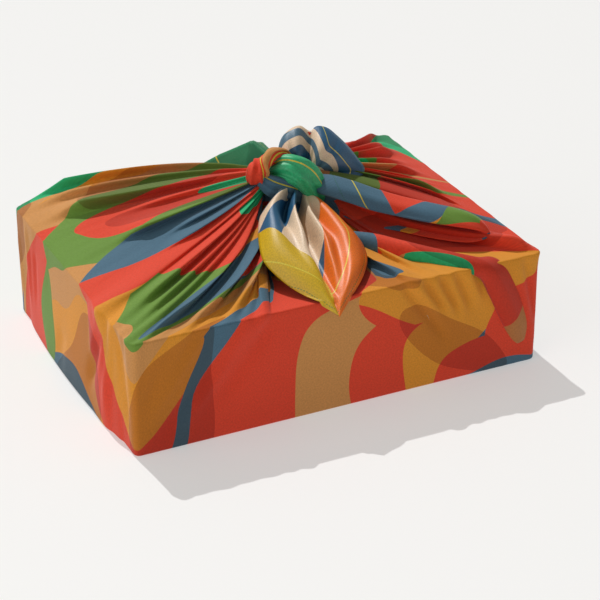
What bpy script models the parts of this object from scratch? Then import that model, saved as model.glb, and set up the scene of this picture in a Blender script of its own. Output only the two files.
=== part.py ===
"""A square cloth wrapped round a flat box and tied on top, furoshiki style.

Frame: +Z up, origin on the surface under the middle of the box, X along the
long side, and the face that shows most at -Y. All sizes are in metres.

The cloth is one sheet. It runs under the box, up its four walls and over its
top, where two fans of pleats rise from the rim to the knot. Between the fans
two flaps lie flat, and their hems nearly meet under the knot. The knot and
its three free ends are the gathered corners of the same cloth.

A place on the rim is measured clockwise, seen from above, from the middle of
the front: 0.140 is the front left corner and 0.841 the front right one.
"""
import math

import bmesh
import bpy
from mathutils import Vector

MM = 0.001

# The wrapped parcel, outside the cloth
PARCEL_LENGTH = 0.280
PARCEL_WIDTH = 0.2106
PARCEL_HEIGHT = 0.0773
CLOTH_THICK = 1.5 * MM
RIM_RADIUS = 4.0 * MM

# The box inside, clear of the cloth
SIDE_CLEARANCE = 1.0 * MM
SEAT_CLEARANCE = 0.3 * MM
BOX_EDGE = 4.0 * MM

HALF_LENGTH = PARCEL_LENGTH / 2
HALF_WIDTH = PARCEL_WIDTH / 2
RIM_TOTAL = 4 * (HALF_LENGTH + HALF_WIDTH)

# A fold is a ridge that runs from the rim to the knot. Columns: where its crest
# is on the rim, how wide it is before and after the crest, its height at the rim
# and on the way, the share of the way where it begins and how long it climbs,
# how far the crest leans over clockwise, and how far down the wall it dies out.
FOLD_COLUMNS = ("crest", "before", "after", "rim", "mid", "begin", "climb", "lean", "reach")
LEFT_FOLDS = (
    (60, 10, 10, 1.2, 3.5, 0.00, 0.35, 0, 12),
    (75, 9, 11, 0.8, 5.0, 0.02, 0.30, -2, 24),
    (92, 9, 10, 0.5, 3.5, 0.10, 0.30, -1, 24),
    (107, 8, 11, 1.0, 5.5, 0.02, 0.30, -2, 34),
    (123, 8, 9, 0.5, 3.5, 0.10, 0.30, -1, 30),
    (135, 7, 7, 1.2, 5.5, 0.02, 0.25, -2, 24),
    (147, 6, 7, 1.5, 4.5, 0.00, 0.25, -1, 24),
    (158, 6, 7, 0.8, 4.0, 0.08, 0.30, -1, 30),
    (169, 6, 7, 0.8, 6.0, 0.10, 0.30, -2, 50),
    (188, 12, 22, 4.5, 3.0, 0.00, 0.30, -2, 60),
    (207, 9, 12, 0.0, 4.5, 0.30, 0.30, -1, 20),
    (225, 9, 12, 0.0, 4.0, 0.42, 0.30, -1, 20),
    (245, 10, 14, 0.3, 4.0, 0.28, 0.30, -1, 20),
    (270, 11, 20, 0.3, 7.0, 0.18, 0.30, -3, 30),
    (294, 12, 16, 0.8, 3.5, 0.08, 0.30, -1, 36),
    (319, 13, 12, 1.0, 8.0, 0.02, 0.30, -3, 36),
    (340, 11, 9, 1.2, 6.0, 0.02, 0.30, -3, 30),
    (357, 12, 16, 1.5, 8.0, 0.00, 0.22, -3, 26),
    (384, 11, 12, 1.2, 5.0, 0.00, 0.30, 0, 24),
    (405, 11, 11, 1.2, 5.0, 0.00, 0.30, 1, 24),
    (427, 12, 15, 1.5, 4.0, 0.00, 0.30, 0, 20),
)
RIGHT_FOLDS = (
    (554, 14, 12, 1.5, 5.0, 0.00, 0.30, 0, 20),
    (574, 11, 11, 1.0, 5.0, 0.00, 0.30, 0, 24),
    (595, 11, 11, 1.0, 5.0, 0.00, 0.30, 0, 24),
    (614, 10, 10, 1.0, 5.0, 0.02, 0.30, 1, 24),
    (632, 9, 9, 1.5, 7.0, 0.02, 0.25, 2, 24),
    (650, 9, 10, 1.0, 6.5, 0.02, 0.30, 2, 26),
    (668, 9, 13, 1.0, 6.5, 0.02, 0.30, 2, 26),
    (694, 15, 15, 0.6, 4.0, 0.08, 0.30, 1, 20),
    (722, 12, 11, 0.8, 5.0, 0.06, 0.30, 2, 24),
    (744, 11, 10, 0.8, 5.0, 0.06, 0.30, 2, 24),
    (764, 10, 10, 0.8, 5.0, 0.08, 0.30, 1, 24),
    (785, 11, 12, 1.0, 5.0, 0.10, 0.25, 0, 24),
    (821, 24, 19, 0.6, 12.0, 0.10, 0.16, 5, 16),
    (845, 8, 9, 1.0, 1.5, 0.00, 0.30, 0, 40),
    (869, 13, 11, 4.0, 8.0, 0.00, 0.35, -3, 60),
    (885, 7, 7, 0.8, 4.0, 0.10, 0.30, 0, 30),
    (898, 7, 7, 0.8, 5.0, 0.02, 0.30, 2, 40),
    (911, 7, 6, 0.8, 4.0, 0.02, 0.30, 2, 40),
    (922, 6, 7, 0.8, 4.0, 0.02, 0.30, 2, 36),
    (932, 7, 11, 1.2, 3.5, 0.00, 0.30, 0, 20),
)
FOLDS = LEFT_FOLDS + RIGHT_FOLDS
# Columns of the sheet are about this far apart on the rim, in mm
COLUMN_GAP = 8.0
# How a fold narrows and sinks on its way: its sharpness, the height that is left
# of it in the knot and where that begins, how far the pleats close up, and the
# most height that a fold has for its width
FOLD_SHARPNESS = 1.4
KNOT_FOLD = 0.8 * MM
SINKING_FROM = 0.5
GATHERING = 0.83
STEEPEST = 0.75
# Folds stand straight up first, and square to the knot from this share on
TURNING_FROM = 1 / 3

# The ways of a fan from the rim to the knot. The section at the knot is an
# ellipse across X, and turn is where a way ends on it: 0 is on top, and + is
# towards the back. Rise is the power that the height grows with, and bow is how
# far the way curves clockwise.
WAY_COLUMNS = ("place", "turn", "rise", "bow")
LEFT_WAYS = (
    (50, -150, 1.30, -3),
    (107, -116, 1.50, -9),
    (135, -100, 1.60, -8),
    (170, -80, 1.10, 0),
    (250, -46, 0.90, 1),
    (319, -16, 0.80, 2),
    (357, 10, 0.75, 17),
    (400, 73, 0.80, 13),
    (442, 150, 1.00, 0),
)
RIGHT_WAYS = (
    (540, 150, 1.00, 0),
    (595, 105, 0.90, -1),
    (632, 75, 0.80, -2),
    (722, 30, 1.00, -8),
    (765, 7, 1.30, -18),
    (800, -15, 1.60, -28),
    (821, -35, 1.60, -27),
    (843, -58, 1.60, -2),
    (869, -85, 1.55, 6),
    (911, -122, 1.50, 2),
    (943, -150, 1.50, 1),
)
LEFT_FAN = {"ways": LEFT_WAYS, "centre": (-10, 2, 109), "radii": (10, 12)}
RIGHT_FAN = {"ways": RIGHT_WAYS, "centre": (30, 2, 104), "radii": (10, 11)}

# The flaps lie on the box between the fans, and webs join them to the fans'
# edges. Their hems run under the knot.
FLAP_COLUMNS = 6
WEB_COLUMNS = 3
WEB_THICK = 0.8 * MM
FLAP_RISE = 1.6
FRONT_HEM = {"from_x": 31 * MM, "to_x": -13 * MM, "y": -2.5 * MM}
BACK_HEM = {"from_x": -13 * MM, "to_x": 31 * MM, "y": 2.5 * MM}
HEM_HEIGHT = PARCEL_HEIGHT + 0.3 * MM

# How far the folds on the walls shift clockwise for each mm down
SLANT_COLUMNS = ("place", "slant")
WALL_SLANTS = (
    (0, 0.0),
    (50, 0.6),
    (120, 0.5),
    (141, 0.0),
    (178, -0.1),
    (230, 0.0),
    (800, 0.0),
    (841, -0.3),
    (869, -0.7),
    (943, -0.5),
    (981, 0.0),
)
# The left wall stands out at its foot, between two places on the rim
FOOT_BULGE = {"from": 160 * MM, "to": 330 * MM, "out": 5 * MM, "fullness": 0.6}

# The rings of the sheet: heights up the walls, and shares of the way to the knot
WALL_HEIGHTS = tuple(h * MM for h in (3, 26, 50, 73))
TOP_STATIONS = (0.0, 0.05, 0.13, 0.24, 0.38, 0.54, 0.70, 0.86, 1.0)
RIM_ROUNDING = 0.3 * RIM_RADIUS
# The inner face keeps most of each fold, and the sheet thins towards the knot
FOLD_SHARE_INSIDE = 0.75
BASE_INSET = 2.0 * MM
KNOT_THICK = 0.7 * MM
THINNING_RINGS = 5

# The free ends of the cloth are rows across the sheet, in mm. The front one is
# crowned, with a valley along it at a share of its width.
FRONT_END_COLUMNS = ("y", "left_x", "right_x", "left_z", "right_z", "crown", "valley")
FRONT_END = (
    (0, 2, 22, 109, 107, 2, 0),
    (-12, -8, 22, 103, 99, 5, 4),
    (-24, -21, 25, 98, 93, 9, 9),
    (-46, -29, 30, 91, 90, 12, 12),
    (-68, -36, 30, 86, 88, 9, 9),
    (-88, -27, 23, 81, 86, 6, 5),
    (-105, -18, 9, 76, 80, 3, 2),
    (-116, -14, -9, 72, 73, 0, 0),
)
FRONT_END_POINTS = 9
FRONT_VALLEY = {"at": 0.6, "wide": 0.14}

# The end that stands up behind the knot opens like a lily. Columns: its rim,
# and the throat that the rim flares from.
LILY_COLUMNS = ("rim_x", "rim_y", "rim_z", "throat_x", "throat_y", "throat_z")
LILY = (
    (13, 13, 124, 14, 8, 108),
    (18, 18, 134, 17, 12, 107),
    (34, 24, 138, 23, 14, 106),
    (52, 22, 132, 30, 12, 105),
    (66, 14, 118, 34, 6, 104),
    (67, 3, 108, 34, 1, 103),
    (55, -6, 106, 32, -3, 103),
    (38, -8, 110, 28, -5, 104),
)
LILY_STEPS = (0.0, 0.3, 0.6, 0.85, 1.0)
LILY_AXIS = Vector((24, 4)) * MM
LILY_BELLY = 5 * MM

# The corner that lies back over the left fan, with a ridge along its middle
BACK_CORNER_COLUMNS = ("x", "y", "z", "half", "drop")
BACK_CORNER_POINTS = 7
BACK_CORNER_ROUNDNESS = 1.3
BACK_CORNER = (
    (8, 12, 118, 8, 3),
    (2, 28, 127, 15, 10),
    (-6, 44, 121, 18, 13),
    (-15, 60, 108, 12, 9),
    (-23, 73, 97, 2, 1),
)

# Bands of the knot: centre, the way across, half width and half thickness
BAND_SIDES = 8
BAND_COLUMNS = ("x", "y", "z", "across_x", "across_y", "across_z", "half", "thick")
CROSS_BAND = (
    (-6, 6, 117, 0.2, 0.8, 0.5, 6, 2.5),
    (2, -1, 122, 0.2, 0.9, 0.5, 8, 3.0),
    (13, -8, 120, 0.5, 0.8, 0.5, 9, 3.0),
    (24, -13, 114, 0.6, 0.6, 0.6, 9, 3.0),
    (30, -14, 106, 0.5, 0.2, 0.7, 7, 3.0),
    (27, -10, 99, 0.6, 0.1, 0.6, 5, 2.5),
)
SMALL_LOOP = (
    (16, 6, 122, 0.3, 0.9, 0.1, 5, 3.0),
    (7, 3, 127, 0.4, 0.9, 0.1, 6, 3.5),
    (-3, -1, 127, 0.6, 0.8, 0.2, 6, 3.5),
    (-11, -4, 121, 0.7, 0.6, 0.4, 6, 3.5),
    (-13, -6, 113, 0.8, 0.5, 0.1, 6, 3.0),
    (-8, -8, 106, 0.8, 0.4, -0.2, 5, 2.5),
)
UNDER_BAND = (
    (-12, -7, 112, 0.7, 0.1, 0.7, 5, 3.0),
    (-2, -11, 106, 0.5, 0.1, 0.9, 7, 3.5),
    (10, -12, 102, 0.1, 0.2, 1.0, 7, 3.5),
    (22, -9, 100, 0.1, 0.2, 1.0, 6, 3.0),
)
KNOT_CORE = {"centre": (10, 1, 102), "radii": (27, 12, 19)}
WELD = 0.01 * MM

CLOTH_COLOUR = (0.62, 0.09, 0.03, 1.0)
BOARD_COLOUR = (0.42, 0.28, 0.15, 1.0)


def rows_of(columns, table):
    """The rows of a table as dictionaries."""
    return [dict(zip(columns, row)) for row in table]


def along(columns, table, name, place):
    """Reads a column of a table at a place on the rim, in straight lines between its rows."""
    rows = rows_of(columns, table)
    for low, high in zip(rows, rows[1:]):
        if low["place"] <= place <= high["place"]:
            share = (place - low["place"]) / (high["place"] - low["place"])
            return low[name] + (high[name] - low[name]) * share
    return rows[0][name] if place < rows[0]["place"] else rows[-1][name]


def eased(share):
    share = min(1.0, max(0.0, share))
    return share * share * (3 - 2 * share)


def rim_point(place, inset=0.0):
    """The point and the outward direction at a place on the rounded rim."""
    place %= RIM_TOTAL
    corners = (
        (-HALF_LENGTH, -HALF_WIDTH),
        (-HALF_LENGTH, HALF_WIDTH),
        (HALF_LENGTH, HALF_WIDTH),
        (HALF_LENGTH, -HALF_WIDTH),
    )
    corner_places = (
        HALF_LENGTH,
        HALF_LENGTH + PARCEL_WIDTH,
        3 * HALF_LENGTH + PARCEL_WIDTH,
        3 * HALF_LENGTH + 2 * PARCEL_WIDTH,
    )
    outward = (Vector((0, -1)), Vector((-1, 0)), Vector((0, 1)), Vector((1, 0)), Vector((0, -1)))
    side = sum(place > corner for corner in corner_places)
    start = (0, -HALF_WIDTH) if side == 0 else corners[side - 1]
    way = Vector((outward[side].y, -outward[side].x))
    gone = place if side == 0 else place - corner_places[side - 1]
    point = Vector(start) + way * gone
    normal = outward[side]
    for index, corner_place in enumerate(corner_places):
        near = place - corner_place
        if abs(near) < RIM_RADIUS:
            turn = math.radians(45) * (1 + near / RIM_RADIUS)
            before, after = outward[index], outward[index + 1]
            normal = before * math.cos(turn) + after * math.sin(turn)
            point = Vector(corners[index]) - (before + after) * RIM_RADIUS + normal * RIM_RADIUS
    return point - normal * inset, normal


def fold_at(place, amount):
    """The highest fold at a place on the rim: its height and its lean there."""
    height = lean = 0.0
    for fold in rows_of(FOLD_COLUMNS, FOLDS):
        away = place - fold["crest"]
        share = abs(away) / (fold["after"] if away > 0 else fold["before"])
        if share < 1:
            here = amount(fold) * (0.5 + 0.5 * math.cos(math.pi * share)) ** FOLD_SHARPNESS
            if here > height:
                height, lean = here, fold["lean"] * here / max(fold["mid"], 1)
    return height * MM, lean * MM


def fan_column(fan, place):
    """A column of a fan, from its place on the rim to its point on the knot."""
    turn, rise, bow = (along(WAY_COLUMNS, fan["ways"], name, place) for name in WAY_COLUMNS[1:])
    across, up = fan["radii"]
    outward = Vector((0, math.sin(math.radians(turn)), math.cos(math.radians(turn))))
    knot = Vector(fan["centre"]) + Vector((0, across * outward.y, up * outward.z))
    return {"place": place * MM, "knot": knot * MM, "outward": outward, "fan": True, "thick": CLOTH_THICK,
            "rise": rise, "bow": bow * MM}


def fan_columns(fan):
    """Columns on each crest of the fan and between the crests."""
    first, last = fan["ways"][0][0], fan["ways"][-1][0]
    crests = [fold["crest"] for fold in rows_of(FOLD_COLUMNS, FOLDS) if first < fold["crest"] < last]
    stops = [first] + crests + [last]
    places = []
    for low, high in zip(stops, stops[1:]):
        steps = max(1, round((high - low) / COLUMN_GAP))
        places += [low + (high - low) * step / steps for step in range(steps)]
    return [fan_column(fan, place) for place in places + [last]]


def flap_columns(hem, before, after):
    """The flap between two fans, with the webs that join it to their edges."""
    start, end = before["place"], after["place"]
    if end < start:
        end += RIM_TOTAL
    count = FLAP_COLUMNS + 2 * WEB_COLUMNS
    columns = []
    for step in range(1, count + 1):
        along_hem = min(1.0, max(0.0, (step - WEB_COLUMNS - 0.5) / (FLAP_COLUMNS - 1)))
        hem_x = hem["from_x"] + (hem["to_x"] - hem["from_x"]) * along_hem
        knot = Vector((hem_x, hem["y"], HEM_HEIGHT))
        from_edge = min(step, count + 1 - step) / (WEB_COLUMNS + 1)
        if from_edge < 1:
            edge = before if step <= WEB_COLUMNS else after
            knot = edge["knot"].lerp(knot, from_edge)
        columns.append({"place": start + (end - start) * step / (count + 1), "knot": knot,
                        "outward": Vector((0, 0, 1)), "fan": False,
                        "thick": WEB_THICK if from_edge < 1 else CLOTH_THICK, "rise": FLAP_RISE, "bow": 0.0})
    return columns


def all_columns():
    left = fan_columns(LEFT_FAN)
    right = fan_columns(RIGHT_FAN)
    back = flap_columns(BACK_HEM, left[-1], right[0])
    front = flap_columns(FRONT_HEM, right[-1], left[0])
    return left + back + right + front


def foot_bulge(place, height):
    """How far the left wall stands out at a height."""
    span = (place - FOOT_BULGE["from"]) / (FOOT_BULGE["to"] - FOOT_BULGE["from"])
    if not 0 < span < 1:
        return 0.0
    swell = math.sin(math.pi * span) ** FOOT_BULGE["fullness"]
    return FOOT_BULGE["out"] * swell * eased(1 - height / PARCEL_HEIGHT)


def wall_point(column, height, folds=1.0, inset=0.0):
    """A point of the cloth on a wall."""
    down = PARCEL_HEIGHT - height
    rim_place = (column["place"] % RIM_TOTAL) / MM
    above = rim_place - along(SLANT_COLUMNS, WALL_SLANTS, "slant", rim_place) * down / MM
    out, _ = fold_at(above, lambda fold: fold["rim"] * math.exp(-down / MM / fold["reach"]))
    point, normal = rim_point(column["place"])
    out = out * folds + foot_bulge(column["place"] % RIM_TOTAL, height) - inset
    return Vector((point.x + normal.x * out, point.y + normal.y * out, height))


def fold_height(fold, station):
    """The height of a fold along its way to the knot, in mm."""
    grown = eased((station - fold["begin"]) / fold["climb"])
    height = fold["rim"] + (fold["mid"] - fold["rim"]) * grown
    height += (KNOT_FOLD / MM - height) * eased((station - SINKING_FROM) / (1 - SINKING_FROM))
    narrowed = min(fold["before"], fold["after"]) * (1 - GATHERING * station)
    return min(height, STEEPEST * narrowed)


def top_point(column, station, folds=1.0):
    """A point of the cloth over the box, from the rim at 0 to the knot at 1."""
    rim, normal = rim_point(column["place"], RIM_ROUNDING)
    knot = column["knot"]
    start = Vector((rim.x, rim.y, PARCEL_HEIGHT - RIM_ROUNDING))
    point = start.lerp(knot, station)
    climbed = start.z + (knot.z - start.z) * station ** column["rise"]
    rounded = start.z + RIM_ROUNDING * min(1.0, station / TOP_STATIONS[1])
    point.z = max(climbed, rounded)
    if not column["fan"]:
        return point
    way = Vector((knot.x - rim.x, knot.y - rim.y, 0)).normalized()
    clockwise = Vector((-way.y, way.x, 0))
    height, lean = fold_at(column["place"] / MM, lambda fold: fold_height(fold, station))
    at_rim = Vector((normal.x, normal.y, 1)).normalized()
    upward = at_rim.lerp(Vector((0, 0, 1)), eased(station / TOP_STATIONS[2]))
    turned = eased((station - TURNING_FROM) / (1 - TURNING_FROM))
    upward = upward.lerp(column["outward"], turned).normalized()
    swing = math.sin(math.pi * station)
    return point + upward * height * folds + clockwise * (lean * folds + column["bow"]) * swing


def loft(name, rings, closed_across=True, cap_start=False, cap_end=False):
    """A surface through rings of the same number of points."""
    mesh = bmesh.new()
    loops = [[mesh.verts.new(point) for point in ring] for ring in rings]
    count = len(rings[0])
    for lower, upper in zip(loops, loops[1:]):
        for index in range(count if closed_across else count - 1):
            after = (index + 1) % count
            mesh.faces.new((lower[index], lower[after], upper[after], upper[index]))
    if cap_start:
        mesh.faces.new(loops[0][::-1])
    if cap_end:
        mesh.faces.new(loops[-1])
    bmesh.ops.remove_doubles(mesh, verts=mesh.verts, dist=WELD)
    bmesh.ops.recalc_face_normals(mesh, faces=mesh.faces)
    data = bpy.data.meshes.new(name)
    mesh.to_mesh(data)
    mesh.free()
    return bpy.data.objects.new(name, data)


def sheet_rings(columns, folds=1.0):
    """Rings of points from the foot of the walls to the knot, with the folds or without."""
    rings = [[wall_point(column, 0.0, 0.0, BASE_INSET) for column in columns]]
    rings += [[wall_point(column, height, folds) for column in columns] for height in WALL_HEIGHTS]
    return rings + [[top_point(column, station, folds) for column in columns] for station in TOP_STATIONS]


def inside_rings(columns, outside):
    """The inner face of the cloth: the outer one moved in along the normals of the cloth without folds."""
    plain = sheet_rings(columns, 0.0)
    count = len(columns)
    rings = []
    for index, ring in enumerate(plain):
        below, above = plain[max(index - 1, 0)], plain[min(index + 1, len(plain) - 1)]
        inner = []
        for step, column in enumerate(columns):
            if index == 0:
                inner.append(wall_point(column, CLOTH_THICK, 0.0, BASE_INSET + CLOTH_THICK))
                continue
            across = ring[(step + 1) % count] - ring[step - 1]
            normal = (above[step] - below[step]).cross(across).normalized()
            folded = (outside[index][step] - ring[step]) * FOLD_SHARE_INSIDE
            thinned = eased((index - len(plain) + 1) / THINNING_RINGS + 1)
            thick = column["thick"] + (KNOT_THICK - column["thick"]) * thinned
            inner.append(ring[step] + folded - normal * thick)
        rings.append(inner)
    return rings


def wrapped_sheet():
    """The cloth round the box as a shell, open under the knot."""
    columns = all_columns()
    outside = sheet_rings(columns)
    inside = inside_rings(columns, outside)
    mesh = bmesh.new()
    layers = [[[mesh.verts.new(point) for point in ring] for ring in rings] for rings in (outside, inside)]
    outer, inner = layers
    for step in range(len(columns)):
        after = (step + 1) % len(columns)
        for (lower, upper), (low, high) in zip(zip(outer, outer[1:]), zip(inner, inner[1:])):
            mesh.faces.new((lower[step], upper[step], upper[after]))
            mesh.faces.new((lower[step], upper[after], lower[after]))
            mesh.faces.new((low[step], high[after], high[step]))
            mesh.faces.new((low[step], low[after], high[after]))
        mesh.faces.new((outer[-1][step], inner[-1][step], inner[-1][after], outer[-1][after]))
    mesh.faces.new(outer[0])
    mesh.faces.new(inner[0][::-1])
    bmesh.ops.recalc_face_normals(mesh, faces=mesh.faces)
    data = bpy.data.meshes.new("wrapped_sheet")
    mesh.to_mesh(data)
    mesh.free()
    return bpy.data.objects.new("wrapped_sheet", data)


def front_end():
    """The free end that hangs over the front rim."""
    rings = []
    for row in rows_of(FRONT_END_COLUMNS, FRONT_END):
        ring = []
        for step in range(FRONT_END_POINTS):
            share = step / (FRONT_END_POINTS - 1)
            crown = row["crown"] * (1 - (2 * share - 1) ** 2)
            from_valley = (share - FRONT_VALLEY["at"]) / FRONT_VALLEY["wide"]
            valley = row["valley"] * math.exp(-(from_valley ** 2))
            x = row["left_x"] + (row["right_x"] - row["left_x"]) * share
            z = row["left_z"] + (row["right_z"] - row["left_z"]) * share + crown - valley
            ring.append(Vector((x, row["y"], z)) * MM)
        rings.append(ring)
    return loft("front_end", rings, closed_across=False)


def lily_end():
    """The free end that stands up behind the knot."""
    rings = []
    for step in LILY_STEPS:
        ring = []
        for row in rows_of(LILY_COLUMNS, LILY):
            rim = Vector((row["rim_x"], row["rim_y"], row["rim_z"])) * MM
            throat = Vector((row["throat_x"], row["throat_y"], row["throat_z"])) * MM
            outward = (throat.xy - LILY_AXIS).normalized().to_3d()
            ring.append(throat.lerp(rim, step) + outward * LILY_BELLY * math.sin(math.pi * step))
        rings.append(ring)
    return loft("lily_end", rings, closed_across=False)


def back_corner():
    """The corner of the cloth that lies back over the left fan."""
    rows = rows_of(BACK_CORNER_COLUMNS, BACK_CORNER)
    centres = [Vector((row["x"], row["y"], row["z"])) * MM for row in rows]
    rings = []
    for index, row in enumerate(rows):
        ahead = centres[min(index + 1, len(rows) - 1)] - centres[max(index - 1, 0)]
        across = Vector((ahead.y, -ahead.x, 0)).normalized()
        ring = []
        for step in range(BACK_CORNER_POINTS):
            share = 2 * step / (BACK_CORNER_POINTS - 1) - 1
            fall = row["drop"] * MM * abs(share) ** BACK_CORNER_ROUNDNESS
            ring.append(centres[index] + across * row["half"] * MM * share - Vector((0, 0, fall)))
        rings.append(ring)
    return loft("back_corner", rings, closed_across=False)


def band(name, table):
    """A soft flat band of gathered cloth, as a closed tube with a lens section."""
    rows = rows_of(BAND_COLUMNS, table)
    centres = [Vector((row["x"], row["y"], row["z"])) * MM for row in rows]
    rings = []
    for index, row in enumerate(rows):
        ahead = (centres[min(index + 1, len(rows) - 1)] - centres[max(index - 1, 0)]).normalized()
        across = Vector((row["across_x"], row["across_y"], row["across_z"]))
        across = (across - ahead * across.dot(ahead)).normalized()
        outward = across.cross(ahead).normalized()
        ring = []
        for step in range(BAND_SIDES):
            turn = math.tau * step / BAND_SIDES
            ring.append(centres[index] + across * row["half"] * MM * math.cos(turn)
                        + outward * row["thick"] * MM * math.sin(turn))
        rings.append(ring)
    return loft(name, rings, cap_start=True, cap_end=True)


def knot_core():
    """The gathered cloth inside the knot."""
    mesh = bmesh.new()
    bmesh.ops.create_uvsphere(mesh, u_segments=16, v_segments=10, radius=1.0)
    centre, radii = KNOT_CORE["centre"], KNOT_CORE["radii"]
    for vertex in mesh.verts:
        vertex.co = Vector([(centre[i] + radii[i] * vertex.co[i]) * MM for i in range(3)])
    data = bpy.data.meshes.new("knot_core")
    mesh.to_mesh(data)
    mesh.free()
    return bpy.data.objects.new("knot_core", data)


def softened(obj):
    modifier = obj.modifiers.new("Soften", "SUBSURF")
    modifier.levels = 1
    modifier.render_levels = 1
    return obj


def thickened(obj):
    modifier = obj.modifiers.new("Thickness", "SOLIDIFY")
    modifier.thickness = CLOTH_THICK
    modifier.offset = 0.0
    return obj


def linked(obj, collection):
    collection.objects.link(obj)
    return obj


def joined(body, helpers):
    """Unites the helpers with the body, one after another."""
    for helper in helpers:
        helper.hide_render = True
        helper.display_type = "WIRE"
        modifier = body.modifiers.new("Join " + helper.name, "BOOLEAN")
        modifier.operation = "UNION"
        modifier.object = helper


def material(name, colour, roughness):
    made = bpy.data.materials.new(name)
    made.use_nodes = True
    shader = made.node_tree.nodes["Principled BSDF"]
    shader.inputs["Base Color"].default_value = colour
    shader.inputs["Roughness"].default_value = roughness
    shader.inputs["Metallic"].default_value = 0.0
    return made


def wrapped_box():
    """The flat box that the cloth is wrapped round."""
    half_x = HALF_LENGTH - CLOTH_THICK - SIDE_CLEARANCE
    half_y = HALF_WIDTH - CLOTH_THICK - SIDE_CLEARANCE
    low = CLOTH_THICK + SEAT_CLEARANCE
    high = PARCEL_HEIGHT - CLOTH_THICK - SIDE_CLEARANCE
    bpy.ops.mesh.primitive_cube_add(size=1.0, location=(0, 0, (low + high) / 2))
    box = bpy.context.object
    box.name = "box"
    box.scale = (2 * half_x, 2 * half_y, high - low)
    bpy.ops.object.transform_apply(location=False, rotation=False, scale=True)
    bevel = box.modifiers.new("Edges", "BEVEL")
    bevel.width = BOX_EDGE
    bevel.segments = 2
    box.data.materials.append(material("box board", BOARD_COLOUR, 0.8))
    return box


def main():
    for obj in list(bpy.data.objects):
        bpy.data.objects.remove(obj)
    parcel = bpy.data.collections.new("furoshiki wrap")
    helpers = bpy.data.collections.new("knot pieces")
    bpy.context.scene.collection.children.link(parcel)
    bpy.context.scene.collection.children.link(helpers)

    box = wrapped_box()
    for holder in list(box.users_collection):
        holder.objects.unlink(box)
    parcel.objects.link(box)

    cloth = linked(wrapped_sheet(), parcel)
    cloth.name = "wrap_cloth"
    cloth.data.materials.append(material("printed cloth", CLOTH_COLOUR, 0.6))
    pieces = [
        linked(knot_core(), helpers),
        linked(band("cross_band", CROSS_BAND), helpers),
        linked(band("small_loop", SMALL_LOOP), helpers),
        linked(band("under_band", UNDER_BAND), helpers),
        linked(thickened(softened(front_end())), helpers),
        linked(thickened(softened(lily_end())), helpers),
        linked(thickened(softened(back_corner())), helpers),
    ]
    joined(cloth, pieces)


main()
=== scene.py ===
import math
from functools import partial

import bmesh
import bpy
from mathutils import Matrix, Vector, noise


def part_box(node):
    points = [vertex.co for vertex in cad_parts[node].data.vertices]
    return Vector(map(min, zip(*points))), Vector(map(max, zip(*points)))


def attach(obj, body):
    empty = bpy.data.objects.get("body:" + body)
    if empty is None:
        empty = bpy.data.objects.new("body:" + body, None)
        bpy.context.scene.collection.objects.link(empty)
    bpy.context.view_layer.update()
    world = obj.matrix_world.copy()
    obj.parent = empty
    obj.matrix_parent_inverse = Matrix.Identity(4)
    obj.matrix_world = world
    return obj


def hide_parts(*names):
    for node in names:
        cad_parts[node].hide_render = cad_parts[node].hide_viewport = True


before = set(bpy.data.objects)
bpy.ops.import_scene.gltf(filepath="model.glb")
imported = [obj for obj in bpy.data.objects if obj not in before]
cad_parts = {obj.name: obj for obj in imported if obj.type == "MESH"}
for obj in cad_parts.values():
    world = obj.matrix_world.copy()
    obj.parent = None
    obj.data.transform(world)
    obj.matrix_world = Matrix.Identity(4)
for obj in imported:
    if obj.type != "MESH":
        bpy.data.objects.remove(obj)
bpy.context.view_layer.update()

mm = 0.001
weldGap = 0.002 * mm  # points of a seam or a pole that are nearer are one
print("stage: frame loaded")

# The parcel follows the box in the frame. A place on the rim is in mm, clockwise from the front's middle.
boxLow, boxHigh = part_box("box")
parcel = {
    "clear": 2.5 * mm,  # cloth and air over the box
    "edgeRadius": 4.0 * mm,  # upright edges of the box through the cloth
    "rimRadius": 1.2 * mm,  # crisp top rim
    "footRadius": 1.4 * mm,
}
upright = Vector((0, 0, 1))
halfLength = boxHigh.x + parcel["clear"]
halfWidth = boxHigh.y + parcel["clear"]
parcelHeight = boxHigh.z + parcel["clear"]
rimTotal = 4 * (halfLength + halfWidth) / mm


# Helpers for tables and curves

def rowsOf(columns, table):
    return [dict(zip(columns.split(), row)) for row in table]


def clamp(value, low=0.0, high=1.0):
    return min(high, max(low, value))


def eased(share):
    share = clamp(share)
    return share * share * (3 - 2 * share)


def curved(points, at):
    # a smooth line through the points, at from 0 to 1 along it
    at = clamp(at) * (len(points) - 1)
    low = min(int(at), len(points) - 2)
    share = at - low
    p1, p2 = points[low], points[low + 1]
    p0 = points[low - 1] if low > 0 else p1 * 2 - p2
    p3 = points[low + 2] if low + 2 < len(points) else p2 * 2 - p1
    square, cube = share * share, share * share * share
    return 0.5 * (p1 * 2 + (p2 - p0) * share + (p0 * 2 - p1 * 5 + p2 * 4 - p3) * square
                  + (p1 * 3 - p0 - p2 * 3 + p3) * cube)


def straight(points, at):
    # the same in straight lines between the points
    at = clamp(at) * (len(points) - 1)
    low = min(int(at), len(points) - 2)
    return points[low] + (points[low + 1] - points[low]) * (at - low)


def readAt(rows, name, place):
    # a column of a table at a place on the rim, in straight lines between its rows
    for low, high in zip(rows, rows[1:]):
        if low["place"] <= place <= high["place"]:
            share = (place - low["place"]) / (high["place"] - low["place"])
            return low[name] + (high[name] - low[name]) * share
    return rows[0][name] if place < rows[0]["place"] else rows[-1][name]


def rowAt(rows, at, line=curved):
    # every column of a table, at from 0 to 1 along it
    return {name: line([row[name] for row in rows], at) for name in rows[0]}


def wayAt(rows, at, step, names, line=curved):
    # the way that the points of a table run there
    return Vector([line([row[name] for row in rows], at + step) - line([row[name] for row in rows], at - step)
                   for name in names])


def pointOf(row):
    return Vector((row["x"], row["y"], row["z"]))


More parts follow.
